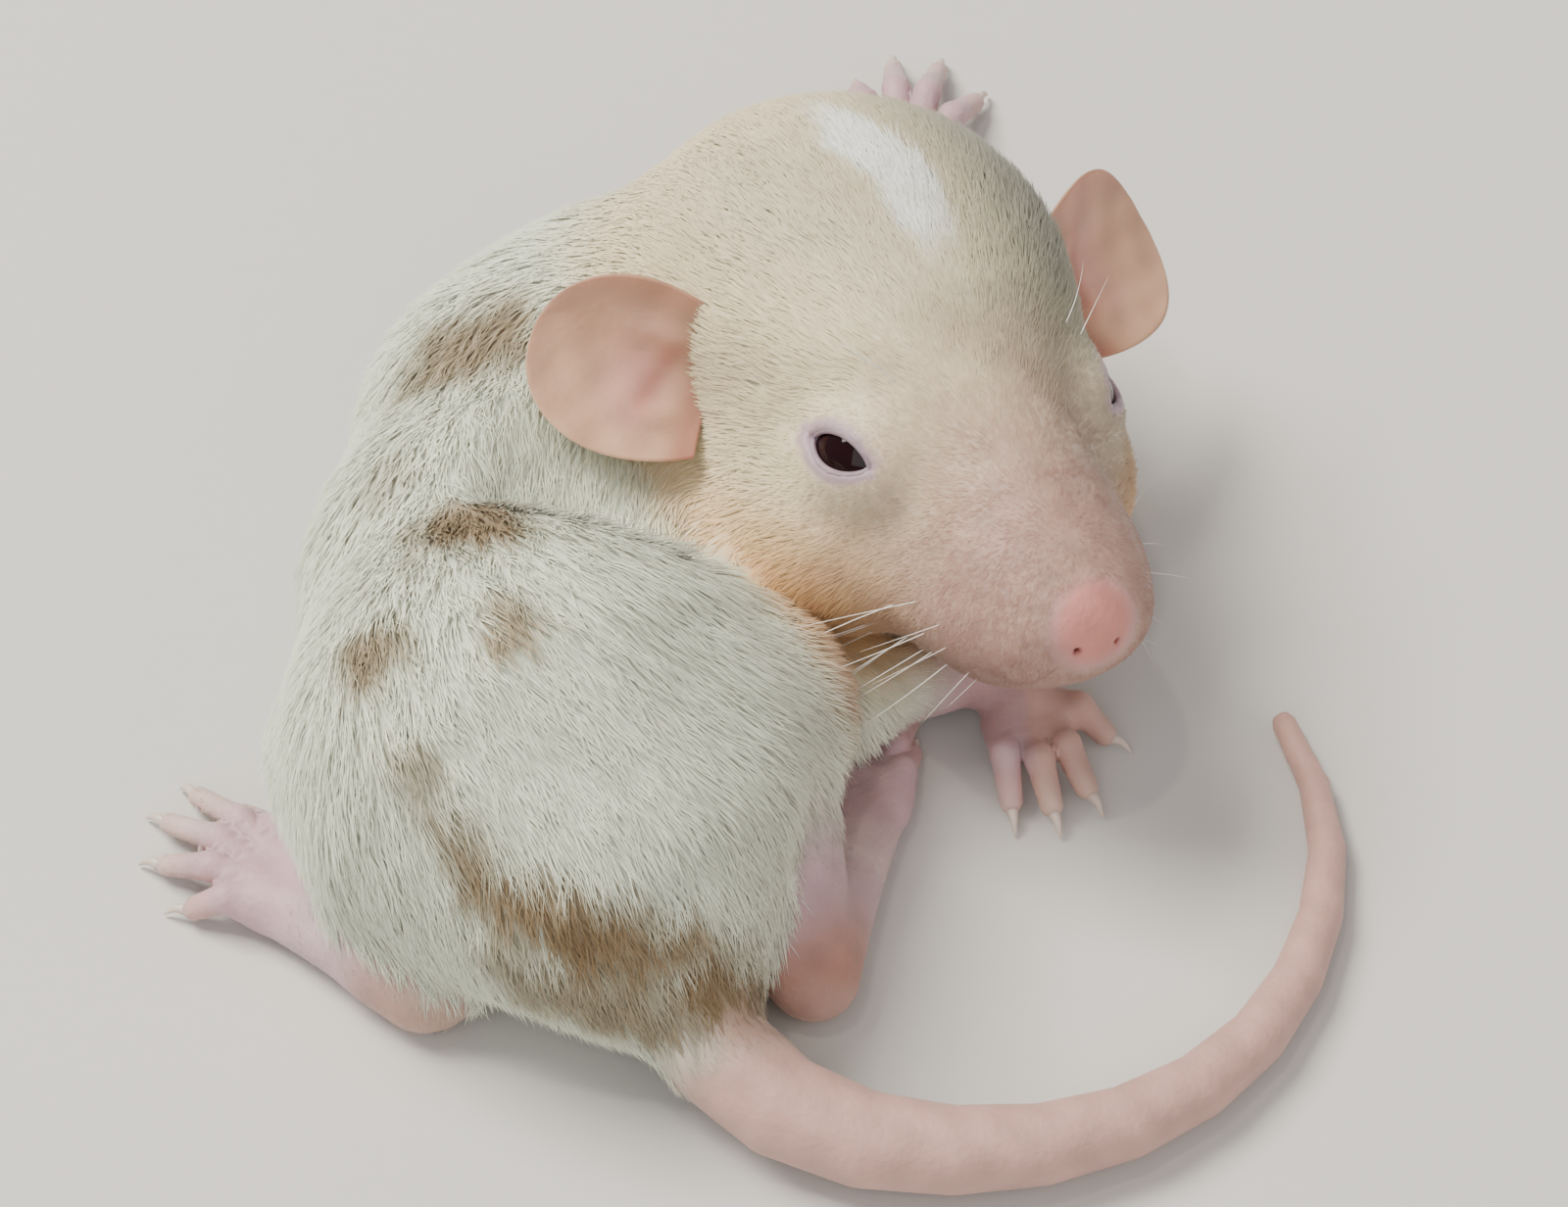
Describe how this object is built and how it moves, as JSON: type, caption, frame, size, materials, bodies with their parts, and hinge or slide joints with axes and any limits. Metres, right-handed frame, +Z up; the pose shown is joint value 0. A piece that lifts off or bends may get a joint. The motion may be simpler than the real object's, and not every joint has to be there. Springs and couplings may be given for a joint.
{
  "type": "dumbo rat pup",
  "caption": "Life-size model of a furry dumbo rat pup lying curled to its right with its head raised, round low ears, slit eyes, bare paws and a long tapered tail",
  "frame": {"origin": "middle of the bounding box in X and Y, at the level the model rests on", "axes": "+Z up; the nose points toward -Y and a little toward +X, the rump lies toward -X and -Y, the tail curves round toward +X"},
  "size_m": [0.0532, 0.0694, 0.0234],
  "materials": {
    "cream_coat": "short fine fur, cream to beige on the head",
    "white_coat": "short fine fur, white with soft beige spots",
    "pink_skin": "bare soft pink skin with a fine down",
    "eye": "wet and glossy, near black"
  },
  "bodies": {
    "root": {"head": "cream_coat", "neck": "white_coat", "chest": "white_coat", "loin": "white_coat", "rump": "white_coat", "thigh_left": "white_coat", "shank_left": "white_coat", "upper_arm_left": "white_coat", "forearm_left": "white_coat", "hind_foot_left": "pink_skin", "forepaw_left": "pink_skin", "ear_left": "pink_skin", "eye_left": "eye", "thigh_right": "white_coat", "shank_right": "white_coat", "upper_arm_right": "white_coat", "forearm_right": "white_coat", "hind_foot_right": "pink_skin", "forepaw_right": "pink_skin", "ear_right": "pink_skin", "eye_right": "eye", "tail_1": "pink_skin", "tail_2": "pink_skin", "tail_3": "pink_skin", "tail_4": "pink_skin", "tail_5": "pink_skin"}
  },
  "joints": []
}
